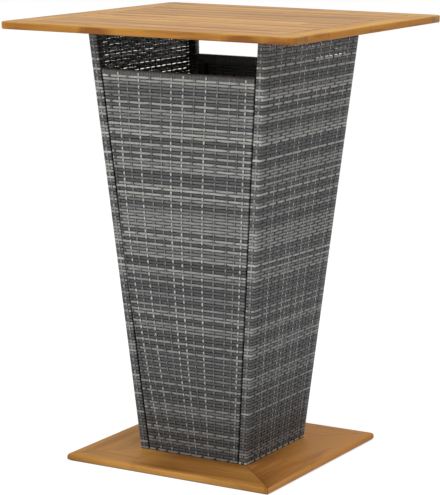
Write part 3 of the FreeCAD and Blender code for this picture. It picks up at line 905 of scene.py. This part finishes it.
def make_floor():
    """A floor that looks white all round the table, but not under its base and inside its hollow column."""
    material, nodes = new_material("pale_floor")
    plain = nodes.add("ShaderNodeBsdfDiffuse", {"Color": FLOOR_GREY}).outputs[0]
    shaded = nodes.add("ShaderNodeBsdfDiffuse", {"Color": FLOOR_SEEN_GREY}).outputs[0]
    place = nodes.add("ShaderNodeTexCoord").outputs["Object"]
    x, y, _ = nodes.add("ShaderNodeSeparateXYZ", {0: place}).outputs
    from_middle = nodes.maths("MAXIMUM", nodes.maths("ABSOLUTE", x), nodes.maths("ABSOLUTE", y))
    outside = nodes.spread(from_middle, base_half - FLOOR_GLOW_EDGE, base_half, 0.0, FLOOR_GLOW)
    glow = nodes.add("ShaderNodeEmission", {"Color": WHITE, "Strength": outside}).outputs[0]
    shown = nodes.add("ShaderNodeAddShader", {0: shaded, 1: glow}).outputs[0]
    either = nodes.add("ShaderNodeMixShader", {0: seen_directly(nodes), 1: plain, 2: shown}).outputs[0]
    nodes.add("ShaderNodeOutputMaterial", {"Surface": either})
    mesh = bpy.data.meshes.new("floor")
    reach = FLOOR_REACH
    mesh.from_pydata([(-reach, -reach, 0), (reach, -reach, 0), (reach, reach, 0), (-reach, reach, 0)], [],
                     [(0, 1, 2, 3)])
    mesh.materials.append(material)
    floor = bpy.data.objects.new("floor", mesh)
    bpy.context.scene.collection.objects.link(floor)


def make_world():
    world = bpy.data.worlds.new("studio")
    bpy.context.scene.world = world
    world.use_nodes = True
    nodes = Nodes(world.node_tree)
    level = nodes.spread(seen_directly(nodes), 0.0, 1.0, WORLD_STRENGTH, 1.0)
    light = nodes.add("ShaderNodeBackground", {"Color": WHITE, "Strength": level}).outputs[0]
    nodes.add("ShaderNodeOutputWorld", {"Surface": light})


def make_camera():
    azimuth = math.radians(CAMERA_AZIMUTH)
    elevation = math.radians(CAMERA_ELEVATION)
    back = Vector((math.sin(azimuth) * math.cos(elevation), -math.cos(azimuth) * math.cos(elevation),
                   math.sin(elevation)))
    target = Vector((TARGET_SIDE_SHIFT * math.cos(azimuth), TARGET_SIDE_SHIFT * math.sin(azimuth),
                     TARGET_HEIGHT))
    camera = bpy.data.cameras.new("camera")
    camera.sensor_width = SENSOR
    camera.lens = FOCAL_PIXELS / IMAGE_HEIGHT * SENSOR
    camera.shift_x = (IMAGE_WIDTH / 2 - PRINCIPAL_X) / IMAGE_HEIGHT
    camera.shift_y = (PRINCIPAL_Y - IMAGE_HEIGHT / 2) / IMAGE_HEIGHT
    camera.clip_end = CAMERA_CLIP
    holder = bpy.data.objects.new("camera", camera)
    holder.location = target + back * CAMERA_DISTANCE
    roll = Matrix.Rotation(math.radians(CAMERA_ROLL), 4, "Z")
    holder.rotation_euler = ((-back).to_track_quat("-Z", "Y").to_matrix().to_4x4() @ roll).to_euler()
    bpy.context.scene.collection.objects.link(holder)
    bpy.context.scene.camera = holder


# Woven panels

def front_warps():
    """Turns shares of the column's width into shares of the width between the front's stiles."""
    whole = half_side(lower_head)
    inner = whole - lower_inset - panel_thickness
    return [((2 * share - 1) * whole / inner, shade) for share, shade in FRONT_WARPS]


def side_warps(shades):
    last = len(shades) - 1
    return [((2 * number / last - 1) * SIDE_WARP_REACH, shade) for number, shade in enumerate(shades)]


def from_front(side, gapes):
    """Turns shares of a side's width from the front into its panel's own places from -1 to 1."""
    turned = []
    for below_head, start, end, gap in gapes:
        places = sorted((2 * share - 1) * (1 if side == "right" else -1) for share in (start, end))
        turned.append((below_head, *places, gap))
    return turned


strand = strand_material()
lower_kind = {"head": lower_head, "inset": lower_inset, "pitch": FRONT_WEFT_PITCH, "band": FRONT_BAND,
              "warps": front_warps()}
side_kind = {"head": column_head, "inset": 0.0, "band": SIDE_BAND, "bands": SIDE_BANDS}
panels = (
    Panel("front", bands=FRONT_BANDS, **lower_kind),
    Panel("back", bands=BACK_BANDS, slack=0.0, **lower_kind),
    Panel("right", pitch=RIGHT_WEFT_PITCH, warps=side_warps(RIGHT_WARP_SHADES),
          gapes=from_front("right", RIGHT_GAPES), **side_kind),
    Panel("left", pitch=WEFT_PITCH, warps=side_warps(LEFT_WARP_SHADES),
          gapes=from_front("left", LEFT_GAPES), **side_kind),
)
for panel in panels:
    for piece in (make_wefts(panel, strand), make_warps(panel, strand), make_rail_wraps(panel, strand)):
        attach(piece, "root")
        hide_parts(f"{panel.side}_panel_weave")


# Wood, steel and plastic

def board_arrises(node):
    """Places across a board of the top where it borders on the next one."""
    low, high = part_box(node)
    if node.startswith("top_slat"):
        return low.y, high.y
    return {"top_front_rail": (high.y,), "top_back_rail": (low.y,)}.get(node, ())


plain_materials = {
    "frame_steel": speckled_material(
        "frame_paint", colour=(0.05, 0.05, 0.053, 1.0), other=(0.075, 0.075, 0.078, 1.0), roughness=0.5,
        grain=900.0, bump=0.0001),
    "fastener_steel": speckled_material(
        "zinc_plate", colour=(0.55, 0.55, 0.53, 1.0), other=(0.40, 0.40, 0.39, 1.0), roughness=0.36,
        grain=1400.0, bump=0.00005, metallic=1.0),
    "glide_plastic": speckled_material(
        "glide_plastic", colour=(0.025, 0.025, 0.026, 1.0), other=(0.04, 0.04, 0.04, 1.0), roughness=0.55,
        grain=1600.0, bump=0.00006),
}
board_kinds = {
    "top_wood": {"face": cad_high.z, **TOP_LOOK},
    "base_wood": {"face": column_foot, **BASE_LOOK},
}
board_draw = random.Random(BOARD_SEED)
boards = 0
for row in frame["record"]["subparts"]:
    node = row["node"]
    slot = row["material_slot"]
    if slot in plain_materials:
        dress(node, plain_materials[slot])
    elif slot in board_kinds:
        boards += 1
        grain_angle = 90 if node in CROSSWISE_BOARDS else 0
        look = {"tone_shift": board_draw.uniform(-BOARD_TONE_SPREAD, BOARD_TONE_SPREAD),
                "arrises": board_arrises(node)}
        look.update(board_kinds[slot])
        look.update(BOARD_LOOKS.get(node, {}))
        dress(node, wood_material(f"wood_{node}", grain_angle, boards, **look))

make_floor()
make_world()
for lamp in LAMPS:
    area_light(*lamp)
make_camera()
bpy.context.scene.view_settings.view_transform = "Standard"
